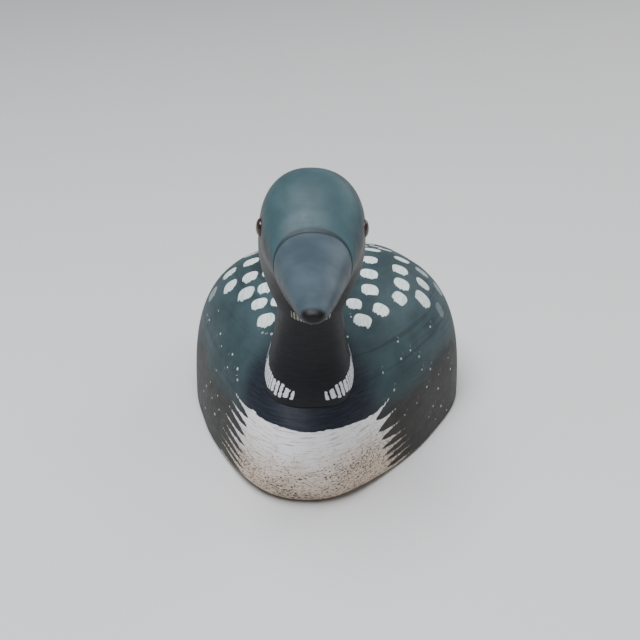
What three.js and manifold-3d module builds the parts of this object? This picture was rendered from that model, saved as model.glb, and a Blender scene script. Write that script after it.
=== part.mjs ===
// A small carved and painted wooden loon decoy: a boat-shaped body sawn flat underneath,
// a separate head and neck set on a sloping seat behind the breast, and two glass eyes.
// Millimetres, z up. The bill points towards -y and the bird's left side is +x.

import * as THREE from 'three';
import { mergeVertices } from 'three/addons/utils/BufferGeometryUtils.js';
import Module from 'manifold-3d';

const wasm = await Module();
wasm.setup();

// Driving dimensions
const bodyLength = 195;
const bodyRoundness = { upper: 3, lower: 2.2 }; // of the middle sections: 2 is an oval
const bodyRings = 46;
const bodySides = 48;

const headRoundness = 2.25;
const headRings = 62;
const headSides = 32;
const headTurn = THREE.MathUtils.degToRad(7.1); // the bird looks a little to its left
const headLean = THREE.MathUtils.degToRad(1); // and leans a hair that way
const neckFoot = new THREE.Vector3(0.8, 29, 43); // the point both are turned about

const seatPoint = new THREE.Vector3(0, 25, 41.7); // a point on the flat seat under the neck
const seatSlope = THREE.MathUtils.degToRad(22); // the seat falls towards the breast
const jointGap = 0.3;
const neckTop = 4; // the throat's row: the seat cuts the neck well below it
const neckRings = 20;

const eyeDiameter = 6;
const eyeStandsOut = 1.4;
const eyeSetIn = 2.2;
const eyeRow = 6.5; // half-way between the back of the crown and the crown
const eyeRise = 0.01; // above the widest line, as a sine
const eyeSides = 24;
const domeSteps = 7;

const roomy = 400; // larger than the whole bird, for the saw cuts
const sameSpot = 1e-4; // corners closer than this are one corner
const shortStep = 0.05; // along the skin, to find which way it looks

// The body's patterns at nine stations, spaced as the cosine of even angles so that both ends
// come out round: half width, height of the back, height of the underside, height of the
// widest line. Heights under zero are sawn away by the flat underside.
const bodyStations = [
  [0, 20, 20, 20],
  [16, 34.5, 0.5, 10],
  [30.5, 48, -2, 3],
  [46.2, 59.5, -4, 1.5],
  [56, 64, -4, 1.5],
  [46.5, 53.5, -4, 1.5],
  [35.5, 41.5, -2, 6],
  [22, 31, 8, 14],
  [9, 22, 18, 20],
];

// The head's side pattern as saw cuts from the neck round to the bill: where each cut meets
// the back or top line (behind the breast front, up), where it meets the throat or underside
// line, and the half width there.
const headRows = [
  [46, 38, 9.6, 26, 17.6], // under the seat
  [44, 50, 11.2, 40.5, 16.5], // seat
  [39.5, 62, 14.7, 55, 13.4], // low neck
  [37.5, 75, 15, 68, 12], // narrowest neck
  [37.5, 88, 12, 78, 15.8], // throat
  [36.7, 103.5, 5, 87, 18.4], // cheeks
  [28, 121, -3, 91, 18.2], // back of the crown
  [10, 127.7, -10, 92.5, 16.8], // crown
  [-5, 120.3, -14.5, 93.3, 14.4], // forehead
  [-14, 113.3, -18, 94, 12.6], // root of the bill
  [-32, 109, -32, 96, 8.8], // middle of the bill
  [-45, 105.3, -45, 98.2, 5.1], // near the tip
  [-50, 103.4, -50, 99.4, 2.8], // blunt tip
];

// Reads a table of evenly spaced rows at any place between them, on a smooth curve
// through all the rows.
function between(rows, place) {
  const last = rows.length - 1;
  const i = Math.min(Math.floor(place), last - 1);
  const f = place - i;
  const row = (k, column) => {
    if (k < 0) return 2 * rows[0][column] - rows[1][column];
    if (k > last) return 2 * rows[last][column] - rows[last - 1][column];
    return rows[k][column];
  };
  return rows[0].map((_, column) => {
    const [a, b, c, d] = [i - 1, i, i + 1, i + 2].map((k) => row(k, column));
    const slope = (c - a) / 2;
    const curve = a - 2.5 * b + 2 * c - 0.5 * d;
    const twist = 1.5 * (b - c) + (d - a) / 2;
    return b + slope * f + curve * f ** 2 + twist * f ** 3;
  });
}

// A point of a squared-off circle of radius 1, in the direction of an angle.
function roundedSquare(angle, roundness) {
  const c = Math.cos(angle);
  const s = Math.sin(angle);
  const reach = (Math.abs(c) ** roundness + Math.abs(s) ** roundness) ** (-1 / roundness);
  return [c * reach, s * reach];
}

// The cross-section of the body at a place from 0 at the breast to 8 at the tail.
function bodyRing(place) {
  const [half, top, low, mid] = between(bodyStations, place);
  const evenAngle = (Math.PI * place) / (bodyStations.length - 1);
  const y = (bodyLength * (1 - Math.cos(evenAngle))) / 2;
  const squareness = Math.sqrt(Math.max(Math.sin(evenAngle), 0)); // plain ovals at both ends
  return Array.from({ length: bodySides }, (_, k) => {
    const angle = (2 * Math.PI * k) / bodySides;
    const upper = Math.sin(angle) > 0;
    const middle = upper ? bodyRoundness.upper : bodyRoundness.lower;
    const [across, rise] = roundedSquare(angle, 2 + (middle - 2) * squareness);
    return new THREE.Vector3(half * across, y, mid + rise * (upper ? top - mid : mid - low));
  });
}

// A point on the head at a place along its rows and an angle round the cut, from 0 on the
// bird's left through 90 degrees on the back or top line. grow makes the cut larger all round.
function headPoint(place, angle, grow = 0) {
  const [topY, topZ, lowY, lowZ, half] = between(headRows, place);
  const long = Math.hypot(topY - lowY, topZ - lowZ) / 2;
  const stretch = (long + grow) / long;
  const [across, rise] = roundedSquare(angle, headRoundness);
  const y = (topY + lowY) / 2 + (rise * stretch * (topY - lowY)) / 2;
  const z = (topZ + lowZ) / 2 + (rise * stretch * (topZ - lowZ)) / 2;
  return new THREE.Vector3((half + grow) * across, y, z);
}

function headRing(place, grow) {
  const turn = (2 * Math.PI) / headSides;
  return Array.from({ length: headSides }, (_, k) => headPoint(place, -turn * k, grow));
}

// Turns a point or a geometry of the head with the bird's gaze.
const gaze = new THREE.Matrix4()
  .makeTranslation(neckFoot)
  .multiply(new THREE.Matrix4().makeRotationZ(headTurn))
  .multiply(new THREE.Matrix4().makeRotationY(headLean))
  .multiply(new THREE.Matrix4().makeTranslation(0, -neckFoot.y, -neckFoot.z));

// Joins rings of equal count into a closed skin with a fan at each end.
function loft(rings, startPoint, endPoint) {
  const count = rings[0].length;
  const points = [startPoint, ...rings.flat(), endPoint];
  const faces = [];
  for (let k = 0; k < count; k += 1) {
    const next = (k + 1) % count;
    faces.push(0, 1 + k, 1 + next);
    for (let r = 0; r < rings.length - 1; r += 1) {
      const a = 1 + r * count + k;
      const b = 1 + r * count + next;
      faces.push(a, b + count, b, a, a + count, b + count);
    }
    const lastRing = 1 + (rings.length - 1) * count;
    faces.push(lastRing + k, points.length - 1, lastRing + next);
  }
  const geometry = new THREE.BufferGeometry().setFromPoints(points);
  geometry.setIndex(faces);
  return geometry;
}

function middleOf(ring) {
  return ring.reduce((sum, point) => sum.add(point), new THREE.Vector3()).divideScalar(ring.length);
}

function toSolid(geometry) {
  const bare = geometry.clone();
  bare.deleteAttribute('normal');
  bare.deleteAttribute('uv');
  const merged = mergeVertices(bare, sameSpot);
  const vertProperties = Float32Array.from(merged.attributes.position.array);
  const triVerts = Uint32Array.from(merged.index.array);
  return new wasm.Manifold(new wasm.Mesh({ numProp: 3, vertProperties, triVerts }));
}

function toGeometry(solid) {
  const { vertProperties, triVerts } = solid.getMesh();
  const geometry = new THREE.BufferGeometry();
  geometry.setAttribute('position', new THREE.BufferAttribute(vertProperties, 3));
  geometry.setIndex(new THREE.BufferAttribute(triVerts, 1));
  return geometry;
}

// A block with its flat underside on the seat, or lifted above it, that keeps all above.
function aboveSeat(lift) {
  const block = new THREE.BoxGeometry(roomy, roomy, roomy);
  block.translate(0, 0, roomy / 2 + lift);
  block.rotateX(seatSlope);
  block.translate(seatPoint.x, seatPoint.y, seatPoint.z);
  return toSolid(block);
}

function makeBodySkin() {
  const lastPlace = bodyStations.length - 1;
  const rings = [];
  for (let k = 1; k <= bodyRings; k += 1) rings.push(bodyRing((lastPlace * k) / bodyRings));
  const breast = new THREE.Vector3(0, 0, bodyStations[0][1]);
  return loft(rings, breast, middleOf(rings[rings.length - 1]));
}

function makeHeadSkin(firstPlace, lastPlace, ringCount, grow = 0) {
  const rings = [];
  for (let k = 0; k <= ringCount; k += 1) {
    rings.push(headRing(firstPlace + ((lastPlace - firstPlace) * k) / ringCount, grow));
  }
  return loft(rings, middleOf(rings[0]), middleOf(rings[ringCount])).applyMatrix4(gaze);
}

// A round plug along +z from a flat back to a domed front; z = 0 is the skin of the head.
function eyeShape(radius, setIn, standsOut) {
  const outline = [new THREE.Vector2(0, -setIn), new THREE.Vector2(radius, -setIn)];
  for (let k = 0; k <= domeSteps; k += 1) {
    const angle = (Math.PI / 2) * (k / domeSteps);
    const across = k === domeSteps ? 0 : radius * Math.cos(angle);
    outline.push(new THREE.Vector2(across, standsOut * Math.sin(angle)));
  }
  return new THREE.LatheGeometry(outline, eyeSides).rotateX(Math.PI / 2);
}

// Puts an eye shape on the side of the head, looking out along the skin's own direction.
function placeEye(shape, side) {
  const angle = side > 0 ? Math.asin(eyeRise) : Math.PI - Math.asin(eyeRise);
  const skin = headPoint(eyeRow, angle);
  const alongRows = headPoint(eyeRow + shortStep, angle).sub(skin);
  const alongCut = headPoint(eyeRow, angle + shortStep).sub(skin);
  const outward = new THREE.Vector3().crossVectors(alongRows, alongCut).normalize();
  if (outward.x * side < 0) outward.negate();
  const turn = new THREE.Quaternion().setFromUnitVectors(new THREE.Vector3(0, 0, 1), outward);
  return shape.applyQuaternion(turn).translate(skin.x, skin.y, skin.z).applyMatrix4(gaze);
}

const eyeRadius = eyeDiameter / 2;
const eyes = {
  eye_left: placeEye(eyeShape(eyeRadius, eyeSetIn, eyeStandsOut), 1),
  eye_right: placeEye(eyeShape(eyeRadius, eyeSetIn, eyeStandsOut), -1),
};
const sockets = [1, -1].map((side) => {
  const socket = eyeShape(eyeRadius + jointGap, eyeSetIn + jointGap, eyeRadius);
  return toSolid(placeEye(socket, side));
});

const lastHeadPlace = headRows.length - 1;
const headSolid = toSolid(makeHeadSkin(0, lastHeadPlace, headRings))
  .intersect(aboveSeat(jointGap))
  .subtract(sockets[0])
  .subtract(sockets[1]);

const overGround = new THREE.BoxGeometry(roomy, roomy, roomy).translate(0, 0, roomy / 2);
const neckSocket = toSolid(makeHeadSkin(0, neckTop, neckRings, jointGap)).intersect(aboveSeat(0));
const bodySolid = toSolid(makeBodySkin()).intersect(toSolid(overGround)).subtract(neckSocket);

const finishes = {
  body: { color: '#3f5357', roughness: 0.55, metalness: 0 },
  head_and_neck: { color: '#46595c', roughness: 0.45, metalness: 0 },
  eye_left: { color: '#2a1a14', roughness: 0.08, metalness: 0 },
  eye_right: { color: '#2a1a14', roughness: 0.08, metalness: 0 },
};
const shapes = {
  body: toGeometry(bodySolid),
  head_and_neck: toGeometry(headSolid),
  ...eyes,
};

const group = new THREE.Group();
for (const [name, geometry] of Object.entries(shapes)) {
  const mesh = new THREE.Mesh(geometry, new THREE.MeshStandardMaterial(finishes[name]));
  mesh.name = name;
  group.add(mesh);
}

// The origin is at the middle of the whole bird's box, on the ground.
const box = new THREE.Box3().setFromObject(group);
const centre = box.getCenter(new THREE.Vector3());
group.position.set(-centre.x, -centre.y, -box.min.z);

export default group;
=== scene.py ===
# %% [markdown]
# # A carved loon decoy, painted in oils
# A small decorative decoy of a common loon: a boat-shaped body of soft wood, sawn flat
# underneath, a separate head and neck glued on a seat behind the breast, and two glass eyes.
# The CAD model gives the true shape and size. Here the same carving lines are drawn again
# much more finely, because the looks need relief and crisp paint edges.

import math

import bmesh
import bpy
import numpy as np
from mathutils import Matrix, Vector


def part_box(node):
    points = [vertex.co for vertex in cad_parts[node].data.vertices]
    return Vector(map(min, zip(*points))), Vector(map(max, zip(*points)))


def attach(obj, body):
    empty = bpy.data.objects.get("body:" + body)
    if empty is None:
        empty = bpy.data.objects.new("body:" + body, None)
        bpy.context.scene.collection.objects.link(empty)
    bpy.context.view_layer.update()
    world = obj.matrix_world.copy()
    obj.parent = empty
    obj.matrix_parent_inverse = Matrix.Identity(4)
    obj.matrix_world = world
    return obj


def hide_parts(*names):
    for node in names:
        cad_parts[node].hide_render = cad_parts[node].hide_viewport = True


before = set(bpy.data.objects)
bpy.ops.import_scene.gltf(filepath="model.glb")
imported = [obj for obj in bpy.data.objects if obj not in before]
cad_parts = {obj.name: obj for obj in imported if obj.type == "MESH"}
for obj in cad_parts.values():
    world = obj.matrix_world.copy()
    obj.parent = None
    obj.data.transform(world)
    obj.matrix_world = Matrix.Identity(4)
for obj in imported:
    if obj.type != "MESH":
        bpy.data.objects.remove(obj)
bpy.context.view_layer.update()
MM = 0.001
body_low, body_high = (np.array(corner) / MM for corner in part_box("body"))
print("body in the frame, mm:", body_low.round(1), body_high.round(1))

# %% [markdown]
# ## Small helpers
# A carver draws a pattern through a few measured stations and sands it to a smooth curve.
# `through` does the same: it reads a smooth curve through evenly spaced rows at any place.
# `crowded` spaces cuts closer together where detail is fine, so that the mesh has its
# vertices where they are needed.

# %% Curves and spacing
def through(rows, place):
    """The smooth curve through evenly spaced rows, read at an array of places."""
    rows = np.asarray(rows, float)
    rows = np.vstack([2 * rows[0] - rows[1], rows, 2 * rows[-1] - rows[-2]])
    place = np.asarray(place, float)
    i = np.clip(place.astype(int), 0, len(rows) - 4)
    f = (place - i)[..., None]
    a, b, c, d = (rows[i + k] for k in range(4))
    slope = (c - a) / 2
    bend = a - 2.5 * b + 2 * c - 0.5 * d
    return b + slope * f + bend * f**2 + (1.5 * (b - c) + (d - a) / 2) * f**3


def crowded(count, low, high, crowds):
    """count places from low to high, closer together near each (centre, width, strength)."""
    fine = np.linspace(low, high, 4001)
    density = np.ones_like(fine)
    for centre, width, strength in crowds:
        density += strength * np.exp(-(((fine - centre) / width) ** 2))
    total = np.concatenate([[0], np.cumsum((density[1:] + density[:-1]) / 2)])
    return np.interp(np.linspace(0, total[-1], count), total, fine)


def smooth_step(value, low, high):
    t = np.clip((value - low) / (high - low), 0, 1)
    return t * t * (3 - 2 * t)


def unevenness(points, size, seed):
    """A gentle waviness between about -1 and 1, with waves about size mm long."""
    draw = np.random.default_rng(seed)
    total = np.zeros(points.shape[:-1])
    waves = 12
    for _ in range(waves):
        direction = draw.normal(size=3)
        direction *= draw.uniform(0.6, 1.4) / np.linalg.norm(direction)
        total += np.sin(points @ direction * (2 * math.pi / size) + draw.uniform(0, 2 * math.pi))
    return total / math.sqrt(waves)


# %% [markdown]
# ## The body
# The body is one block of wood. Its patterns are a half plan, a back line and a keel line,
# and its sections are squared-off ovals: full shoulders above, softer below. What would
# reach under the ground is sawn off flat, and the sharp edge that the saw leaves is eased.

# %% The body's patterns
BODY_LENGTH = 195
BODY_STATIONS = [  # half width, back, keel, height of the widest line
    [0, 20, 20, 20],
    [16, 34.5, 0.5, 10],
    [30.5, 48, -2, 3],
    [46.2, 59.5, -4, 1.5],
    [56, 64, -4, 1.5],
    [46.5, 53.5, -4, 1.5],
    [35.5, 41.5, -2, 6],
    [22, 31, 8, 14],
    [9, 22, 18, 20],
]
LAST_STATION = len(BODY_STATIONS) - 1
SQUARENESS_ABOVE = 3.0
SQUARENESS_BELOW = 2.2
BREAST_Y = body_low[1]


def body_lines(place):
    """Half width, back, keel and widest line, y, and how square the section is, at a place."""
    half, back, keel, wide = np.moveaxis(through(BODY_STATIONS, place), -1, 0)
    even = math.pi * place / LAST_STATION
    y = BREAST_Y + BODY_LENGTH * (1 - np.cos(even)) / 2
    return half, back, keel, wide, y, np.sqrt(np.clip(np.sin(even), 0, 1))


def body_place(y):
    return np.arccos(np.clip(1 - 2 * (y - BREAST_Y) / BODY_LENGTH, -1, 1)) * LAST_STATION / math.pi


def back_height(x, y):
    """Height of the body's upper surface over a point of the ground."""
    half, back, _, wide, _, squareness = body_lines(body_place(y))
    power = 2 + (SQUARENESS_ABOVE - 2) * squareness
    inside = np.clip(1 - np.abs(x / np.maximum(half, 0.01)) ** power, 0, 1)
    return wide + (back - wide) * inside ** (1 / power)


# %% The body's surface
BODY_CUTS = 330
BODY_AROUND = 268
SOLE_POINTS = 20
SAW_EDGE = 0.8
TAIL_EDGE = 2.5


def body_rings():
    place = crowded(BODY_CUTS, 0.03, LAST_STATION, [(1.7, 0.8, 1.1)])[:, None]
    half, back, keel, wide, y, squareness = body_lines(place)
    below = 2 + (SQUARENESS_BELOW - 2) * squareness
    above = 2 + (SQUARENESS_ABOVE - 2) * squareness
    sawn = np.clip(wide / np.maximum(wide - keel, 0.01), 0, 1)
    start = np.arctan2(sawn, np.clip(1 - sawn**below, 0, 1) ** (1 / below))
    turn = np.linspace(0, 1, BODY_AROUND)[None]
    turn = 0.6 * turn + 0.4 * (1 - np.cos(math.pi * turn)) / 2
    angle = -start + (math.pi + 2 * start) * turn
    c, s = np.cos(angle), np.sin(angle)
    power = np.where(s > 0, above, below)
    reach = (np.abs(c) ** power + np.abs(s) ** power) ** (-1 / power)
    x = half * c * reach
    z = wide + np.where(s > 0, back - wide, wide - keel) * s * reach
    z = np.maximum(z, 0)

    from_tail = BREAST_Y + BODY_LENGTH - y
    q = np.clip(1 - from_tail / TAIL_EDGE, 0, 1)
    shrink = 1 - (1 - np.sqrt(1 - q**2)) * TAIL_EDGE / np.hypot(half, (back - keel) / 2)
    x, z = x * shrink, wide + (z - wide) * shrink

    q = np.clip(1 - z / SAW_EDGE, 0, 1)
    eased = np.minimum(SAW_EDGE * (1 - np.sqrt(1 - q**2)), np.abs(x) * 0.5)
    x = np.where(keel < 0, x - np.sign(x) * eased, x)
    across = np.linspace(0, 1, SOLE_POINTS + 2)[None, 1:-1]
    sole_x = x[:, -1:] + (x[:, :1] - x[:, -1:]) * across
    sole_z = z[:, -1:] + 0 * across
    x = np.hstack([x, sole_x])
    z = np.hstack([z, sole_z])
    return np.stack([x, y + 0 * x, z], -1)


def skin(name, rings):
    """One closed mesh object from rings of points in mm, with a fan of faces at each end."""
    cuts, around = rings.shape[:2]
    points = np.vstack([rings.reshape(-1, 3), rings[0].mean(0), rings[-1].mean(0)]) * MM
    k = np.arange(around)
    n = (k + 1) % around
    first = np.arange(cuts - 1)[:, None] * around
    sides = np.stack([first + k, first + n, first + around + n, first + around + k], -1)
    last = (cuts - 1) * around
    ends = np.vstack(
        [
            np.stack([n, k, 0 * k + cuts * around], -1),
            np.stack([last + k, last + n, 0 * k + cuts * around + 1], -1),
        ]
    )
    mesh = bpy.data.meshes.new(name)
    mesh.from_pydata(points.tolist(), [], sides.reshape(-1, 4).tolist() + ends.tolist())
    piece = bpy.data.objects.new(name, mesh)
    bpy.context.scene.collection.objects.link(piece)
    knife = bmesh.new()
    knife.from_mesh(mesh)
    bmesh.ops.remove_doubles(knife, verts=knife.verts, dist=0.004 * MM)
    bmesh.ops.recalc_face_normals(knife, faces=knife.faces)
    knife.to_mesh(mesh)
    knife.free()
    mesh.shade_smooth()
    print(name, "has", len(mesh.polygons), "faces")
    return piece


def vertices(piece):
    """The vertices of a piece as an array, in mm."""
    flat = np.zeros(len(piece.data.vertices) * 3)
    piece.data.vertices.foreach_get("co", flat)
    return flat.reshape(-1, 3) / MM


def keep(piece, name, values):
    """Stores one value, or one vector, at every vertex for the materials to read."""
    kind, key = ("FLOAT", "value") if values.ndim == 1 else ("FLOAT_VECTOR", "vector")
    layer = piece.data.attributes.new(name, kind, "POINT")
    layer.data.foreach_set(key, values.astype(np.float32).ravel())


body = skin("painted_body", body_rings())

# %% [markdown]
# ## The head, neck and bill
# The head is carved from a second piece. It is drawn as saw cuts along its side pattern,
# from the foot of the neck round to the bill: each cut runs from the back or top line to
# the throat or underside line. The finished head looks a little to the bird's left.

# %% The head's patterns
HEAD_ROWS = [  # behind the breast and up: back or top line, then throat line; half width
    [46, 38, 9.6, 26, 17.6],
    [44, 50, 11.2, 40.5, 16.5],
    [39.5, 62, 14.7, 55, 13.4],
    [37.5, 75, 15, 68, 12],
    [37.5, 88, 12, 78, 15.8],
    [36.7, 103.5, 5, 87, 18.4],
    [28, 121, -3, 91, 18.2],
    [10, 127.7, -10, 92.5, 16.8],
    [-5, 120.3, -14.5, 93.3, 14.4],
    [-14, 113.3, -18, 94, 12.6],
    [-32, 109, -32, 96, 8.8],
    [-45, 105.3, -45, 98.2, 5.1],
    [-50, 103.4, -50, 99.4, 2.8],
]
LAST_ROW = len(HEAD_ROWS) - 1
HEAD_SQUARENESS = 2.25
NECK_FOOT = np.array([0.8, 29, 43])
TURN, LEAN = math.radians(7.1), math.radians(1)


def head_section(place, angle, grow=0):
    """Points of the head before it is turned; grow makes a cut larger all round, in mm."""
    top_y, top_z, low_y, low_z, half = np.moveaxis(through(HEAD_ROWS, place), -1, 0)
    long = np.hypot(top_y - low_y, top_z - low_z) / 2
    c, s = np.cos(angle), np.sin(angle)
    reach = (np.abs(c) ** HEAD_SQUARENESS + np.abs(s) ** HEAD_SQUARENESS) ** (-1 / HEAD_SQUARENESS)
    rise = s * reach * (1 + grow / long)
    y = (top_y + low_y) / 2 + rise * (top_y - low_y) / 2
    z = (top_z + low_z) / 2 + rise * (top_z - low_z) / 2
    return np.stack([(half + grow) * c * reach, y, z], -1)


def gaze(points):
    """Turns the head's points with the bird's gaze and puts them in the frame."""
    ct, st, cl, sl = math.cos(TURN), math.sin(TURN), math.cos(LEAN), math.sin(LEAN)
    turn = np.array([[ct, -st, 0], [st, ct, 0], [0, 0, 1]])
    lean = np.array([[cl, 0, sl], [0, 1, 0], [-sl, 0, cl]])
    moved = (points - [0, NECK_FOOT[1], NECK_FOOT[2]]) @ (turn @ lean).T + NECK_FOOT
    return moved + [0, BREAST_Y, 0]


# %% The eyes' places
EYE_ROW, EYE_RISE = 6.5, 0.01


def eye_seat(side):
    """The point of the skin under an eye and the way it looks, before the head is turned."""
    angle = math.asin(EYE_RISE) if side > 0 else math.pi - math.asin(EYE_RISE)
    step = 0.05
    rows = np.array([EYE_ROW, EYE_ROW + step, EYE_ROW])
    middle, along, round_ = head_section(rows, np.array([angle, angle, angle + step]))
    outward = np.cross(along - middle, round_ - middle)
    outward /= np.linalg.norm(outward)
    return middle, outward * np.sign(outward[0] * side)


# %% [markdown]
# ## Where the neck meets the body, and the cut at the bill's root
# The neck's foot ends exactly on the body's surface and is rounded under, so a thin dark
# step shows all round it. The carver marked the bill off from the face with a cut across
# the forehead that dies away at the corners of the mouth, and a finer cut parts the bill.

# %% The head's surface
HEAD_CUTS = 340
HEAD_AROUND = 280
FOOT_EDGE = 0.75
GROOVE_TOP = np.array([-11.2, 114.7])  # y and z, as in the head's patterns
GROOVE_LEAN = 0.38
GROOVE_HALF, GROOVE_DEPTH = 0.5, 0.38
MOUTH_HALF, MOUTH_DEPTH = 0.28, 0.28
SOCKET_RADIUS = 3.15


def from_groove(points):
    """Distance in mm from the cut at the bill's root, positive on the bill."""
    behind = points[..., 1] - GROOVE_TOP[0]
    under = GROOVE_TOP[1] - points[..., 2]
    return -(behind + GROOVE_LEAN * under) / math.hypot(1, GROOVE_LEAN)


def mouth_height(y):
    """Height of the cut that parts the bill, from its corner to the tip."""
    return np.interp(y, [-50, -32, -15], [100.7, 101.2, 100.2])


def head_relief(points):
    """How far the carved surface stands out from the plain form, in mm."""
    x, y, z = np.moveaxis(points, -1, 0)
    groove = from_groove(points)
    fade = smooth_step(z, 96.5, 101.5)
    relief = -GROOVE_DEPTH * np.exp(-((groove / GROOVE_HALF) ** 2)) * fade
    mouth = (z - mouth_height(y)) / MOUTH_HALF
    length = smooth_step(-y, 15.5, 18) * (1 - smooth_step(-y, 47.5, 49.5))
    relief -= MOUTH_DEPTH * np.exp(-(mouth**2)) * length
    for side in (1, -1):
        away = np.linalg.norm(points - eye_seat(side)[0], axis=-1)
        relief -= 0.3 * np.exp(-(((away - SOCKET_RADIUS) / 0.3) ** 2))
    return relief + 0.10 * unevenness(points, 26, seed=5)


def foot_places(angle):
    """Where each line of the neck meets the body, found by halving."""
    low, high = np.zeros_like(angle), np.full_like(angle, 2.6)
    for _ in range(30):
        middle = (low + high) / 2
        x, y, z = np.moveaxis(gaze(head_section(middle, angle)), -1, 0)
        sunk = z < back_height(x, y)
        low, high = np.where(sunk, middle, low), np.where(sunk, high, middle)
    return (low + high) / 2


def head_rings():
    angle = np.linspace(0, 2 * math.pi, HEAD_AROUND, endpoint=False)[None]
    spread = crowded(
        HEAD_CUTS, 0, LAST_ROW, [(0, 0.05, 12), (0.3, 0.4, 1), (8.75, 0.5, 1.5), (12, 0.12, 4)]
    )[:, None]
    foot = foot_places(angle)
    place = foot + (LAST_ROW - foot) * spread / LAST_ROW
    plain = head_section(place, angle)
    x, y, z = np.moveaxis(gaze(plain), -1, 0)
    q = np.clip(1 - (z - back_height(x, y)) / FOOT_EDGE, 0, 1)
    q *= place < 3
    grow = -FOOT_EDGE * (1 - np.sqrt(1 - q**2)) + head_relief(plain)
    tip = np.clip(1 - (LAST_ROW - place) / 0.42, 0, 1)
    grow -= 1.1 * (1 - np.sqrt(1 - tip**2))
    rings = gaze(head_section(place, angle, grow))
    tucked = gaze(head_section(foot - 0.1, angle, -FOOT_EDGE - 0.5))
    return np.concatenate([tucked, rings]), place, angle


rings, ring_places, ring_angles = head_rings()
head = skin("painted_head_and_neck", rings)
print("the neck's foot lies between", rings[1, :, 2].min().round(1), "and",
      rings[1, :, 2].max().round(1), "mm up")

# %% [markdown]
# ## The glass eyes
# Glass eyes are sold as flat-backed domes, clear over a painted iris. Each is turned here
# as one profile: a shallow dome over a short plug that sits in its socket.

# %% Turning the eyes
EYE_RADIUS, EYE_OUT, EYE_IN = 3.0, 1.4, 1.6


def glass_eye(name, side):
    dome = np.linspace(0, math.pi / 2, 26)
    reach = np.concatenate([[EYE_RADIUS * 0.92, EYE_RADIUS], EYE_RADIUS * np.cos(dome)[:-1]])
    rise = np.concatenate([[-EYE_IN, -EYE_IN + 0.25], EYE_OUT * np.sin(dome)[:-1]])
    middle, outward = eye_seat(side)
    sideways = np.cross(outward, [0, 0, 1])
    sideways /= np.linalg.norm(sideways)
    upright = np.cross(sideways, outward)
    turn = np.linspace(0, 2 * math.pi, 72, endpoint=False)[None, :, None]
    rings = (
        middle
        + outward * rise[:, None, None]
        + (sideways * np.cos(turn) + upright * np.sin(turn)) * reach[:, None, None]
    )
    eye = skin(name, gaze(rings))
    away = np.concatenate([np.repeat(reach, 72), [0, 0]])[: len(eye.data.vertices)]
    keep(eye, "from_middle", away)
    return eye


left_eye = glass_eye("left_glass_eye", 1)
right_eye = glass_eye("right_glass_eye", -1)

# %% [markdown]
# ## Laying out the paint on the body
# The painter worked with a flat brush for the dabs and a fine one for the dots, and pulled
# the white of the breast out into tapering strokes at its sides. Each vertex stores how far
# it is from an edge of paint, in mm, so the materials can draw edges finer than the mesh.

# %% The white breast
TOP_EDGE_X = [-28, -20, -8, 0, 10, 20, 24.5, 31.5]
TOP_EDGE_Z = [32.4, 32.0, 32.1, 31.4, 31.1, 30, 28.9, 31.9]
# Each side: (distance from the middle, height) of the strokes' tips and of the dark notches.
RIGHT_TIPS = [(27.7, 32.3), (29.5, 28.6), (31.1, 26.0), (32.3, 21.2), (33.5, 17.6),
              (34.7, 13.9), (35.4, 9.7), (36.1, 7.1), (37.5, 2.4)]
RIGHT_NOTCHES = [(20.1, 32.0), (17.4, 28.9), (19.3, 25.4), (20.3, 21.3), (20.5, 17.7),
                 (20.8, 13.4), (20.9, 10.4), (18.6, 7.4), (21, 3.9), (23, 0)]
LEFT_TIPS = [(31.5, 31.8), (34.0, 26.2), (35.4, 19.9), (37.0, 15.1), (37.8, 11.8),
             (38.2, 8.9), (39.4, 5.7), (39.8, 2.5)]
LEFT_NOTCHES = [(24.2, 28.8), (25.0, 26.2), (26.8, 21.0), (26.9, 17.5), (27.0, 13.4),
                (27.8, 9.6), (27.2, 6.9), (28.5, 3.6), (30, -0.5)]
STROKE_TAPER = 3.2
STROKE_TIP = 0.62
FAR = 4.0


def white_breast(points):
    """Distance in mm inside the white breast, negative outside it."""
    x, y, z = points.T
    top = np.interp(x, TOP_EDGE_X, TOP_EDGE_Z) - z
    inside = np.full(len(x), -FAR)
    for side, tips, notches in ((-1, RIGHT_TIPS, RIGHT_NOTCHES), (1, LEFT_TIPS, LEFT_NOTCHES)):
        out = x * side
        heights = [height for _, height in notches]
        edge = np.interp(z, heights[::-1], [far for far, _ in notches][::-1])
        middle = np.minimum(top, edge - out)
        inside = np.where(out >= 0, np.maximum(inside, middle), inside)
        for tip, above, below in zip(tips, notches, notches[1:]):
            root = (np.array(above) + below) / 2
            t = (out - root[0]) / (tip[0] - root[0])
            line = root[1] + (tip[1] - root[1]) * np.clip(t, 0, 1.2) ** 1.25
            left_over = np.clip(1 - t, 0, 1)
            width = (above[1] - below[1]) / 2 * left_over**STROKE_TAPER + STROKE_TIP * left_over**0.5
            stroke = np.where(out > root[0] - 1.5, width - np.abs(z - line), -FAR)
            stroke = np.minimum(stroke, (tip[0] - out) * 0.6)
            inside = np.maximum(inside, stroke)
    inside = np.where(y < -15, inside, -FAR)
    return np.clip(inside, -FAR, FAR)


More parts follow.
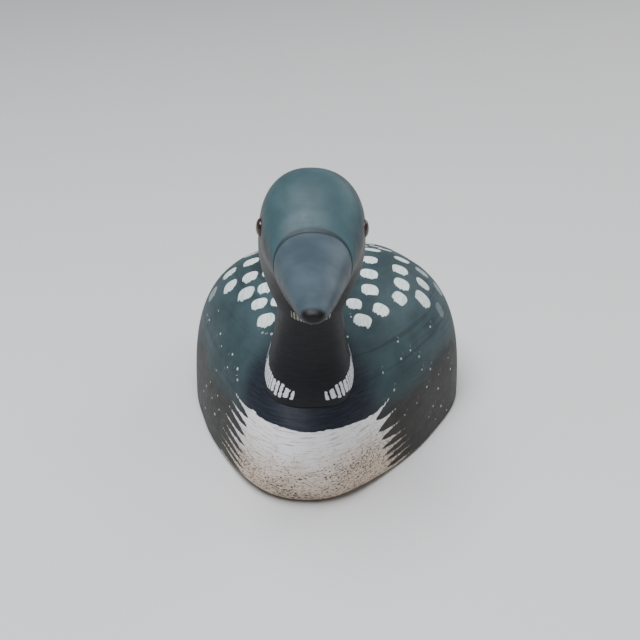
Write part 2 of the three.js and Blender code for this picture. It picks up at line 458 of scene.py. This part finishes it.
# %% Dabs and dots
DAB_SIZE = 7.0
DAB_POWER = 2.8
DOT_ROOM = 1.5
SHOWN_DABS = [  # across, along, width, length, strength of the paint
    (18.1, 33.9, 7.4, 7, 1), (18.4, 18.9, 6.4, 7.2, 1), (18.9, 6.9, 7.2, 7, 1),
    (20.1, -3.8, 7, 7.2, 1), (14.8, -14.2, 6.2, 6.6, 1), (30.9, 29.6, 7, 6.4, 0.9),
    (30.8, 17.1, 7, 7.4, 0.95), (32.2, 7.1, 7, 7.4, 0.95), (31.9, -1.8, 6.4, 7.4, 0.95),
    (25.2, -13.1, 6.8, 7, 1), (18.9, -22, 7.2, 6.8, 1), (39.5, 27.4, 7, 5.5, 0.4),
    (40.3, 16.7, 7.4, 5.6, 0.75), (40.8, 7.4, 8.6, 7.2, 0.85), (46.4, 26.5, 7, 5.5, 0.3),
    (47.7, 13.3, 7, 5.5, 0.12), (-30.8, 18.5, 7, 6.8, 1), (-29.1, 5.4, 7, 7.2, 0.95),
    (-29.1, -5, 7.6, 8, 0.85), (-39.8, 17.7, 7.2, 6.4, 0.9), (-37.5, 5.9, 7, 7.4, 0.95),
    (-21, -5.1, 7, 7.4, 1), (-22.4, -14.2, 7, 6.4, 1), (-14.6, -15, 6.4, 6.6, 1),
    (-18.2, -24.3, 7.2, 7.4, 1), (-20.6, 5.2, 7, 7, 1), (-32.8, 30.8, 7, 5.5, 0.6),
]
SHOWN_DOTS = [  # across, along, up
    (-40.7, -2.6, 47.2), (-47.2, 5.8, 41.2), (-45.4, 0.7, 41.4), (-37.7, -15.6, 43.3),
    (-36.3, -21.5, 40.8), (-30.5, -30.4, 42.0), (-32.3, -32.0, 37.1), (-27.4, -37.6, 39.6),
    (-38.1, -24.9, 31.8), (-26.8, -40.9, 36.6), (-44.1, -16.1, 20.0), (-41.4, -21.2, 24.6),
    (-44.5, -16.0, 15.3), (-40.2, -25.0, 19.5), (-36.6, -30.4, 23.6), (-46.4, -11.1, 14.9),
    (-45.2, -14.8, 9.1), (-35.9, -33.2, 19.0), (-38.6, -28.9, 14.5), (-18.7, -30.0, 51.6),
    (-15.0, -31.6, 52.1), (44.1, -0.1, 43.4), (32.3, -21.5, 46.5), (37.1, -18.8, 41.7),
    (33.9, -25.4, 41.2), (40.4, -15.6, 37.6), (51.8, 7.2, 26.4), (52.9, 8.8, 20.5),
    (41.9, -16.6, 32.5), (45.0, -10.2, 29.7), (48.3, -3.9, 24.2), (27.8, -36.2, 40.4),
    (44.0, -15.3, 24.3), (48.4, -5.2, 18.5), (32.1, -35.1, 32.7), (40.6, -23.8, 21.5),
    (46.8, -10.4, 13.2), (49.9, -2.2, 8.9), (52.3, 4.6, 3.5), (36.3, -32.3, 20.6),
    (45.3, -14.6, 10.4), (48.0, -7.6, 5.7), (14.3, -21.6, 56.1), (13.9, -31.5, 52.4),
]


def skin_frame(x, y, z=None):
    """A point of the body's skin with its across and along directions."""
    step = 0.5
    height = back_height(x, y)
    slope_x = (back_height(x + step, y) - back_height(x - step, y)) / (2 * step)
    slope_y = (back_height(x, y + step) - back_height(x, y - step)) / (2 * step)
    outward = np.array([-slope_x, -slope_y, 1.0])
    outward /= np.linalg.norm(outward)
    across = np.array([outward[2], 0, -outward[0]])
    across /= np.linalg.norm(across)
    along = np.cross(across, outward)
    return np.array([x, y, height if z is None else z]), across, along


def all_dabs():
    """Every dab: middle, across, along, width, length, strength and slant."""
    draw = np.random.default_rng(11)
    marks = []
    for x, y, width, length, strength in SHOWN_DABS:
        marks.append((*skin_frame(x, y), width, length, strength, draw.uniform(-0.15, 0.15)))
    row = 0
    y = 45.0
    while y < 108:
        half, back, _, _, _, _ = body_lines(body_place(np.array(y)))
        room = float(half) - 11
        fade = float(np.interp(y, [45, 108], [1, 0.35]))
        count = max(2, int(round(2 * room / 12.5)))
        for k in range(count):
            x = (k + 0.5 - count / 2) * 2 * room / count + draw.uniform(-0.7, 0.7)
            size = DAB_SIZE * (0.45 + 0.55 * fade) * draw.uniform(0.9, 1.08)
            at = skin_frame(x, y + draw.uniform(-0.8, 0.8) - 0.05 * abs(x))
            marks.append((*at, size, size, 1, draw.uniform(-0.15, 0.15)))
        y += 11.5 - 4 * (1 - fade)
        row += 1
    for x, y in ((-6.5, 33), (6, 32), (-7, 20.5), (6.5, 20), (-6.5, 8.5), (6, 8), (-20, 19), (-19.5, 32.5),
                 (-7, -3), (6.5, -3.5), (-42, 30), (-46.5, 14)):
        marks.append((*skin_frame(x, y), 7, 7, 1 if abs(x) < 41 else 0.3, draw.uniform(-0.15, 0.15)))
    return marks


def all_dots():
    draw = np.random.default_rng(12)
    marks = []
    for x, y, z in SHOWN_DOTS:
        size = draw.uniform(0.7, 1.25)
        tilt = draw.uniform(-0.3, 0.3)
        marks.append((*skin_frame(x, y, z), size * 0.85, size * 1.15, draw.uniform(0.4, 0.9), tilt))
    return marks


def nearest_mark(points, marks, room):
    """For each vertex within room mm of a mark: its place in the mark in half sizes and a
    number that tells marks apart, how many half sizes off it is, and the mark's strength."""
    place = np.full((len(points), 3), 9.0)
    reach = np.full(len(points), 9.0)
    strength_of = np.zeros(len(points))
    for number, (middle, across, along, width, length, strength, tilt) in enumerate(marks):
        away = points - middle
        close = np.where(np.abs(away).max(1) < room + max(width, length) / 2)[0]
        a, b = away[close] @ across, away[close] @ along
        a, b = (a + tilt * b) / (width / 2), (b - tilt * a) / (length / 2)
        value = (np.abs(a) ** DAB_POWER + np.abs(b) ** DAB_POWER) ** (1 / DAB_POWER)
        won = value < reach[close]
        index = close[won]
        reach[index] = value[won]
        place[index] = np.stack([a[won], b[won], np.full(won.sum(), number * 3.7)], -1)
        strength_of[index] = strength
    return place, reach, strength_of


# %% Storing the body's paint
at = vertices(body)
marks = all_dabs()
dab, dab_reach, dab_strength = nearest_mark(at, marks, 5)
keep(body, "white", white_breast(at))
keep(body, "dab", dab)
keep(body, "dab_reach", dab_reach)
keep(body, "dab_strength", dab_strength)
dots = all_dots()
dot, dot_reach, dot_strength = nearest_mark(at, dots, DOT_ROOM)
keep(body, "dot", dot * [1, 1, 0])
keep(body, "dot_near", (dot_reach < 9) * dot_strength)

foot_line = rings[1, :, :]


def from_foot(points):
    """Distance in mm from the neck's foot, up to 9 mm."""
    away = np.full(len(points), 9.0)
    close = np.where((points[:, 1] < foot_line[:, 1].max() + 9) & (np.abs(points[:, 0]) < 30))[0]
    for start in range(0, len(close), 4000):
        some = close[start:start + 4000]
        gaps = np.linalg.norm(points[some, None] - foot_line[None, ::3], axis=-1)
        away[some] = np.minimum(gaps.min(1), 9)
    return away


keep(body, "from_foot", from_foot(at))
x, y, z = at.T
flank_edge = np.interp(y, [-60, -40, -20, 0, 40, 100], [30, 30, 29, 32, 30, 22])
keep(body, "flank", np.clip(flank_edge - z, -20, 20))
apron = 26 - np.hypot(x * 0.85 - 1, (y + 60) * 0.9)
keep(body, "apron", np.clip(apron, -20, 20))
print(len(marks), "dabs and", len(dots), "dots")

# %% [markdown]
# ## Laying out the paint on the head
# The necklace is a patch of white strokes on each side of the neck, narrow in front and
# broad at the side. Every vertex stores which stroke it lies in and how high it is within
# the patch. A smaller patch of short strokes lies under the chin.

# %% The necklace
STROKE_AT = [17, 25.5, 34, 40.5, 47, 53.5, 58, 62, 65.5, 69, 72.5, 76, 79.5, 83, 150]
GAP_AT = {18: 0.2, 40: 0.15, 56: 0.13, 70: 0.1}
NECKLACE_AT = [12, 20, 30, 40, 50, 60, 70, 90, 110, 130, 150]
NECKLACE_LOW = [40.6, 40.4, 40.3, 40.4, 40.7, 41.5, 42.8, 46, 49, 52, 55.5]
NECKLACE_HIGH = [42.6, 43.6, 44.7, 45.6, 46.6, 47.9, 49.6, 54.6, 57.5, 58, 57.5]
THROAT_AT = [0, 12, 24, 34]
THROAT_LOW = [69.4, 69.9, 71.2, 73]
THROAT_HIGH = [72.4, 72.8, 74.2, 75.5]


def head_paint(piece, place, angle):
    plain = head_section(place, angle)
    x, y, z = np.moveaxis(plain, -1, 0)
    round_neck = np.degrees(np.arctan2(np.abs(x), NECK_FOOT[1] - y))
    low = np.interp(round_neck, NECKLACE_AT, NECKLACE_LOW)
    high = np.interp(round_neck, NECKLACE_AT, NECKLACE_HIGH)
    ends = np.minimum(round_neck - 18.5, 150 - round_neck) * 0.28
    inside = np.minimum(np.minimum(z - low, high - z), ends)
    lean = 3.2 * (z - low) / np.maximum(high - low, 1)
    stroke = np.interp(round_neck + lean, STROKE_AT, np.arange(len(STROKE_AT)) + 0.0)
    low = np.interp(round_neck, THROAT_AT, THROAT_LOW)
    high = np.interp(round_neck, THROAT_AT, THROAT_HIGH)
    throat = np.minimum(np.minimum(z - low, high - z), (27 - round_neck) * 0.25)
    on_throat = (z > 60) & (y < NECK_FOOT[1])
    fields = {
        "necklace": np.where(z < 62, np.clip(inside, -FAR, FAR), -FAR),
        "throat": np.where(on_throat, np.clip(throat, -FAR, FAR), -FAR),
        "stroke": np.where(on_throat, round_neck / 4.5 * np.sign(x) + 0.5, stroke),
        "gap": np.where(on_throat, 0.2, np.interp(round_neck, list(GAP_AT), list(GAP_AT.values()))),
        "bill": np.clip(from_groove(plain), -20, 60),
        "up": z,
        "tip": place - LAST_ROW,
        "under": np.sin(angle) + 0 * place,
    }
    for name, values in fields.items():
        ends = [values[0].mean(), values[-1].mean()]
        keep(piece, name, np.concatenate([values[:1].ravel(), values.ravel(), ends]))


head_paint(head, ring_places, ring_angles)
head_at = vertices(head)
keep(head, "from_foot", from_foot(head_at))

# %% [markdown]
# ## Paint
# Artists' oil colour, thinned and brushed on in one or two coats over sealed wood, dries to
# a satin skin. Brush lines and the wood's grain both run along the body and round the
# breast, about one to the millimetre, and the white is thin enough over the breast for
# dark pores to show. `node` adds one node with its settings and links.

# %% Colours and nodes
def linear(code, alpha=1.0):
    """An sRGB hex colour as the linear values that a shader takes."""
    parts = [int(code[i:i + 2], 16) / 255 for i in (1, 3, 5)]
    return (*[p / 12.92 if p <= 0.04045 else ((p + 0.055) / 1.055) ** 2.4 for p in parts], alpha)


def node(tree, kind, inputs=None, **settings):
    """Adds a node. Each input is a plain value or the output socket of another node."""
    new = tree.nodes.new("ShaderNode" + kind)
    for name, value in settings.items():
        setattr(new, name, value)
    for socket, value in (inputs or {}).items():
        if isinstance(value, bpy.types.NodeSocket):
            tree.links.new(value, new.inputs[socket])
        else:
            new.inputs[socket].default_value = value
    return new


def new_material(name):
    material = bpy.data.materials.new(name)
    material.use_nodes = True
    tree = material.node_tree
    tree.nodes.clear()
    output = tree.nodes.new("ShaderNodeOutputMaterial")
    shader = tree.nodes.new("ShaderNodeBsdfPrincipled")
    tree.links.new(shader.outputs["BSDF"], output.inputs["Surface"])
    return material, tree, shader


def sawn_noise(tree, spacing, stretch, detail=3.0, offset=0.0):
    """Noise in mm over the object: spacing is its size and stretch how long it is each way."""
    where = node(tree, "NewGeometry").outputs["Position"]
    scale = [1000 / (spacing * s) for s in stretch]
    placed = node(tree, "Mapping", {"Vector": where, "Location": (offset, offset, offset), "Scale": scale})
    return node(tree, "TexNoise", {"Vector": placed.outputs[0], "Scale": 1.0, "Detail": detail}).outputs["Fac"]


def over(tree, below, paint, mask):
    """Lays one colour over another where the mask is 1."""
    mix = node(tree, "Mix", {"Factor": mask, 6: below, 7: paint}, data_type="RGBA")
    return mix.outputs[2]


def edge(tree, value, low, high):
    """A soft-edged mask: 0 below low and 1 above high."""
    return node(tree, "MapRange", {"Value": value, "From Min": low, "From Max": high},
                interpolation_type="SMOOTHSTEP").outputs["Result"]


def ragged(tree, value, noise, amount):
    """Shifts a distance by up to amount either way, with noise centred on a half."""
    centred = node(tree, "Math", {0: noise, 1: -0.5, 2: 0.0}, operation="ADD").outputs[0]
    return node(tree, "Math", {0: centred, 1: 2 * amount, 2: value}, operation="MULTIPLY_ADD").outputs[0]


def stored(tree, name, output="Fac"):
    return node(tree, "Attribute", attribute_name=name).outputs[output]


# %% The body's paint
def body_paint():
    material, tree, shader = new_material("satin_oil_paint_on_carved_wood")
    fine = sawn_noise(tree, 0.45, (14, 14, 1), 4)
    fine_top = sawn_noise(tree, 0.5, (1, 16, 8), 4)
    facing = node(tree, "SeparateXYZ", {0: node(tree, "NewGeometry").outputs["Normal"]}).outputs[2]
    on_top = edge(tree, facing, 0.8, 0.97)
    lines = node(tree, "Mix", {0: on_top, 2: fine, 3: fine_top}).outputs[0]
    broad = sawn_noise(tree, 14, (1, 1.6, 1), 3)
    mottle = sawn_noise(tree, 3.5, (1, 1.4, 1), 4, 3.1)

    teal = over(tree, linear("#2a3a3d"), linear("#3a4d50"), edge(tree, broad, 0.3, 0.7))
    teal = over(tree, teal, linear("#46595c"), node(tree, "Math", {0: edge(tree, lines, 0.5, 0.8), 1: 0.22}, operation="MULTIPLY").outputs[0])
    # The sides below the flank line are painted darker and browner than the back: painted shade and painted warm
    # reflection from below.
    shaded_warm_side = over(tree, linear("#201f1b"), linear("#2e2d28"), edge(tree, lines, 0.35, 0.7))
    flank = edge(tree, ragged(tree, stored(tree, "flank"), broad, 6), -5, 5)
    colour = over(tree, teal, shaded_warm_side, flank)
    navy = over(tree, linear("#171b23"), linear("#232a34"), edge(tree, lines, 0.35, 0.7))
    apron = edge(tree, ragged(tree, stored(tree, "apron"), broad, 5), -4, 7)
    colour = over(tree, colour, navy, apron)
    grain = sawn_noise(tree, 1.7, (40, 40, 1), 3, 2.6)
    grain = node(tree, "Math", {0: edge(tree, grain, 0.56, 0.66), 1: 0.35}, operation="MULTIPLY").outputs[0]
    colour = over(tree, colour, linear("#16191a"), grain)

    # The white of the breast: cool above and warmer low down, partly the thin paint's own yellowing and partly painted
    # warm light bounced up from below; low down the white is thinner, so more pores show.
    height = node(tree, "SeparateXYZ", {0: node(tree, "NewGeometry").outputs["Position"]}).outputs[2]
    low_down = edge(tree, ragged(tree, height, broad, 0.012), 0.030, 0.008)
    white = over(tree, linear("#e6e4e4"), linear("#d2bfab"), low_down)
    white = over(tree, white, linear("#8a755e"), node(tree, "Math", {0: edge(tree, lines, 0.5, 0.68), 1: 0.6}, operation="MULTIPLY").outputs[0])
    pore = sawn_noise(tree, 0.4, (2.6, 2.6, 1), 2, 7.7)
    patch = sawn_noise(tree, 9, (2.2, 2.2, 1), 3, 1.7)
    wear = node(tree, "Math", {0: patch, 1: low_down, 2: 0.12}, operation="MULTIPLY_ADD").outputs[0]
    pore_at = node(tree, "Math", {0: wear, 1: 0.28, 2: pore}, operation="MULTIPLY_ADD").outputs[0]
    pores = edge(tree, pore_at, 0.70, 0.76)
    white = over(tree, white, linear("#4a4138"), pores)
    rag = sawn_noise(tree, 0.9, (2.5, 2.5, 1), 4, 5.5)
    white_mask = edge(tree, ragged(tree, stored(tree, "white"), rag, 0.45), -0.1, 0.1)
    colour = over(tree, colour, white, white_mask)

    # Dabs: squared patches whose brush lines trail off towards the breast.
    place = stored(tree, "dab", "Vector")
    behind = node(tree, "SeparateXYZ", {0: place}).outputs[1]
    streaked = node(tree, "Mapping", {"Vector": place, "Scale": (4.5, 0.5, 1)}).outputs[0]
    streaks = node(tree, "TexNoise", {"Vector": streaked, "Scale": 1.0, "Detail": 3.0}).outputs["Fac"]
    trail = node(tree, "MapRange", {"Value": behind, "From Min": -0.3, "From Max": 1.0, "To Min": 0.15, "To Max": 1.1}).outputs[0]
    lift = node(tree, "Math", {0: streaks, 1: 0.45}, operation="SUBTRACT").outputs[0]
    radius = node(tree, "Math", {0: lift, 1: trail, 2: stored(tree, "dab_reach")}, operation="MULTIPLY_ADD").outputs[0]
    dab_mask = edge(tree, radius, 1.03, 0.95)
    strength = node(tree, "Math", {0: dab_mask, 1: stored(tree, "dab_strength")}, operation="MULTIPLY").outputs[0]
    dab_colour = over(tree, linear("#c3d0cd"), linear("#e8f0ec"), edge(tree, streaks, 0.3, 0.62))
    colour = over(tree, colour, dab_colour, strength)

    # Dots, touched on with the tip of a fine brush.
    away = node(tree, "VectorMath", {0: stored(tree, "dot", "Vector")}, operation="LENGTH").outputs["Value"]
    dots_mask = edge(tree, ragged(tree, away, rag, 0.3), 1.15, 0.85)
    dots_mask = node(tree, "Math", {0: dots_mask, 1: stored(tree, "dot_near")}, operation="MULTIPLY").outputs[0]
    colour = over(tree, colour, linear("#c9cfcc"), dots_mask)

    # Painted shade, with some dirt, darkens the step round the neck's foot.
    shade_and_dirt_at_foot = edge(tree, stored(tree, "from_foot"), 1.3, 0.2)
    colour = over(tree, colour, linear("#14161a"), node(tree, "Math", {0: shade_and_dirt_at_foot, 1: 0.85}, operation="MULTIPLY").outputs[0])

    raw = edge(tree, facing, -0.7, -0.9)
    colour = over(tree, colour, linear("#8a7455"), raw)
    tree.links.new(colour, shader.inputs["Base Color"])
    rough = node(tree, "MapRange", {"Value": mottle, "To Min": 0.45, "To Max": 0.65}).outputs[0]
    tree.links.new(rough, shader.inputs["Roughness"])
    shader.inputs["Specular IOR Level"].default_value = 0.25
    height_sum = node(tree, "Math", {0: white_mask, 1: 0.35, 2: lines}, operation="MULTIPLY_ADD").outputs[0]
    height_sum = node(tree, "Math", {0: dab_mask, 1: 0.35, 2: height_sum}, operation="MULTIPLY_ADD").outputs[0]
    height_sum = node(tree, "Math", {0: pores, 1: -0.5, 2: height_sum}, operation="MULTIPLY_ADD").outputs[0]
    bump = node(tree, "Bump", {"Strength": 0.5, "Distance": 0.00012, "Height": height_sum})
    tree.links.new(bump.outputs[0], shader.inputs["Normal"])
    return material


body.data.materials.append(body_paint())

# %% The head's paint
def head_paint_material():
    material, tree, shader = new_material("satin_oil_paint_on_carved_head")
    broad = sawn_noise(tree, 11, (1, 1, 1), 3, 2.2)
    lines = sawn_noise(tree, 0.5, (12, 12, 1), 4, 4.4)
    mottle = sawn_noise(tree, 3, (1, 1, 1), 4, 6.1)
    teal = over(tree, linear("#33474b"), linear("#3d5458"), edge(tree, broad, 0.3, 0.7))
    bill = over(tree, linear("#36434a"), linear("#45535a"), edge(tree, broad, 0.3, 0.7))
    colour = over(tree, teal, bill, edge(tree, stored(tree, "bill"), 0.0, 0.8))
    # Painted warm reflection from below darkens and browns the underside of the head and bill.
    painted_warm_reflection = edge(tree, ragged(tree, stored(tree, "under"), broad, 0.25), 0.45, -0.45)
    colour = over(tree, colour, linear("#2b241d"), node(tree, "Math", {0: painted_warm_reflection, 1: 0.85}, operation="MULTIPLY").outputs[0])
    navy = over(tree, linear("#0d0f12"), linear("#15171b"), edge(tree, lines, 0.35, 0.7))
    neck = edge(tree, ragged(tree, stored(tree, "up"), broad, 5), 96, 78)
    neck = node(tree, "Math", {0: neck, 1: edge(tree, stored(tree, "bill"), -1.0, -6.0)}, operation="MULTIPLY").outputs[0]
    colour = over(tree, colour, navy, neck)
    groove = stored(tree, "bill")
    cut = node(tree, "Math", {0: groove}, operation="ABSOLUTE").outputs[0]
    cut = edge(tree, ragged(tree, cut, mottle, 0.12), 0.7, 0.25)
    cut = node(tree, "Math", {0: cut, 1: edge(tree, stored(tree, "up"), 97, 101.5)}, operation="MULTIPLY").outputs[0]
    colour = over(tree, colour, linear("#14181b"), node(tree, "Math", {0: cut, 1: 0.7}, operation="MULTIPLY").outputs[0])
    # The bill's end is painted near black: partly dark paint on the tip and partly painted shade on its
    # downward-facing end.
    tip = edge(tree, ragged(tree, stored(tree, "tip"), mottle, 0.06), -0.75, -0.2)
    colour = over(tree, colour, linear("#0b0a09"), tip)

    rag = sawn_noise(tree, 0.6, (1, 1, 1.6), 3, 8.3)
    stroke = ragged(tree, stored(tree, "stroke"), rag, 0.3)
    number = node(tree, "Math", {0: stroke}, operation="FLOOR").outputs[0]
    luck = node(tree, "TexWhiteNoise", {"W": number}, noise_dimensions="1D").outputs["Value"]
    split = node(tree, "Math", {0: stroke}, operation="FRACT").outputs[0]
    split = node(tree, "Math", {0: split, 1: 0.5}, operation="SUBTRACT").outputs[0]
    split = node(tree, "Math", {0: split}, operation="ABSOLUTE").outputs[0]
    thin = ragged(tree, stored(tree, "gap"), luck, 0.05)
    painted = edge(tree, node(tree, "Math", {0: split, 1: thin}, operation="ADD").outputs[0], 0.54, 0.46)
    rounded = node(tree, "Math", {0: node(tree, "Math", {0: split, 1: 2.0}, operation="MULTIPLY").outputs[0], 1: 3.0}, operation="POWER").outputs[0]
    # The necklace strokes are white; the throat strokes under the chin are drawn grey, as painted shade under the
    # bill.
    for name in ("necklace", "throat"):
        within = ragged(tree, ragged(tree, stored(tree, name), rag, 0.4), luck, 0.3)
        within = node(tree, "Math", {0: rounded, 1: -0.8, 2: within}, operation="MULTIPLY_ADD").outputs[0]
        patch = edge(tree, within, -0.08, 0.08)
        patch = node(tree, "Math", {0: patch, 1: painted}, operation="MULTIPLY").outputs[0]
        colour = over(tree, colour, linear("#dcdde2" if name == "necklace" else "#8f8c80"), patch)
    # Painted shade, with some dirt, darkens the neck's foot where it meets the body.
    shade_and_dirt_at_foot = edge(tree, stored(tree, "from_foot"), 0.9, 0.15)
    colour = over(tree, colour, linear("#101216"), shade_and_dirt_at_foot)
    tree.links.new(colour, shader.inputs["Base Color"])
    rough = node(tree, "MapRange", {"Value": mottle, "To Min": 0.4, "To Max": 0.6}).outputs[0]
    tree.links.new(rough, shader.inputs["Roughness"])
    shader.inputs["Specular IOR Level"].default_value = 0.3
    bump = node(tree, "Bump", {"Strength": 0.35, "Distance": 0.0001, "Height": lines})
    tree.links.new(bump.outputs[0], shader.inputs["Normal"])
    return material


head.data.materials.append(head_paint_material())

# %% The eyes' glass
def eye_glass():
    material, tree, shader = new_material("dark_brown_glass_eye")
    away = stored(tree, "from_middle")
    streaks = sawn_noise(tree, 0.5, (1, 1, 1), 3, 1.1)
    iris = over(tree, linear("#24120c"), linear("#3a2016"), edge(tree, streaks, 0.35, 0.65))
    colour = over(tree, linear("#080605"), iris, edge(tree, away, 1.5, 1.75))
    tree.links.new(colour, shader.inputs["Base Color"])
    shader.inputs["Roughness"].default_value = 0.06
    shader.inputs["IOR"].default_value = 1.52
    return material


glass = eye_glass()
for eye in (left_eye, right_eye):
    eye.data.materials.append(glass)

# %% [markdown]
# ## Riding on the frame
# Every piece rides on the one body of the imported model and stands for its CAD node.

# %% Pieces and nodes
for piece, cad_node, slot in (
    (body, "body", "body_paint"),
    (head, "head_and_neck", "head_paint"),
    (left_eye, "eye_left", "eye_glass"),
    (right_eye, "eye_right", "eye_glass"),
):
    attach(piece, "root")
    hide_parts(cad_node)

# %% [markdown]
# ## Floor, light and camera
# A plain pale sheet, one large soft light high in front and a weaker one behind. The camera
# stands about half a metre off and looks down 25 degrees, a little from the bird's left.

# %% The floor
FLOOR_SIZE = 6.0


def pale_floor():
    mesh = bpy.data.meshes.new("floor")
    half = FLOOR_SIZE / 2
    mesh.from_pydata([(-half, -half, 0), (half, -half, 0), (half, half, 0), (-half, half, 0)], [], [(0, 1, 2, 3)])
    floor = bpy.data.objects.new("floor", mesh)
    bpy.context.scene.collection.objects.link(floor)
    material, tree, shader = new_material("pale_matte_paper")
    grain = sawn_noise(tree, 2, (1, 1, 1), 3)
    tree.links.new(over(tree, linear("#d9d8d5"), linear("#dcdbd8"), grain), shader.inputs["Base Color"])
    shader.inputs["Roughness"].default_value = 0.9
    floor.data.materials.append(material)
    return floor


floor = pale_floor()

# %% Lights
def soft_light(name, place, target, size, power, colour):
    lamp = bpy.data.lights.new(name, "AREA")
    lamp.shape = "DISK"
    lamp.size = size
    lamp.energy = power
    lamp.color = linear(colour)[:3]
    holder = bpy.data.objects.new(name, lamp)
    holder.location = place
    holder.rotation_euler = (Vector(target) - Vector(place)).to_track_quat("-Z", "Y").to_euler()
    bpy.context.scene.collection.objects.link(holder)
    return holder


soft_light("window_above", (-0.12, -0.4, 1.1), (0, 0, 0.05), 0.8, 20, "#f4f7ff")
soft_light("fill_behind", (0.7, 0.8, 0.7), (0, 0, 0.05), 0.8, 4, "#ffffff")

world = bpy.data.worlds.new("pale_room")
bpy.context.scene.world = world
world.use_nodes = True
world.node_tree.nodes["Background"].inputs["Color"].default_value = linear("#e9edf2")
world.node_tree.nodes["Background"].inputs["Strength"].default_value = 0.42

# %% The camera
AZIMUTH, ELEVATION = math.radians(6.36), math.radians(25)
DISTANCE, TARGET = 0.5441, Vector((-0.00215, 0.0187, 0.0353))
camera = bpy.data.cameras.new("camera")
camera.sensor_width = 36
camera.lens = 36 * 1300 / 640
camera.clip_start = 0.01
viewer = bpy.data.objects.new("camera", camera)
back = Vector((math.sin(AZIMUTH) * math.cos(ELEVATION), -math.cos(AZIMUTH) * math.cos(ELEVATION), math.sin(ELEVATION)))
viewer.location = TARGET + back * DISTANCE
viewer.rotation_euler = back.to_track_quat("Z", "Y").to_euler()
bpy.context.scene.collection.objects.link(viewer)
bpy.context.scene.camera = viewer
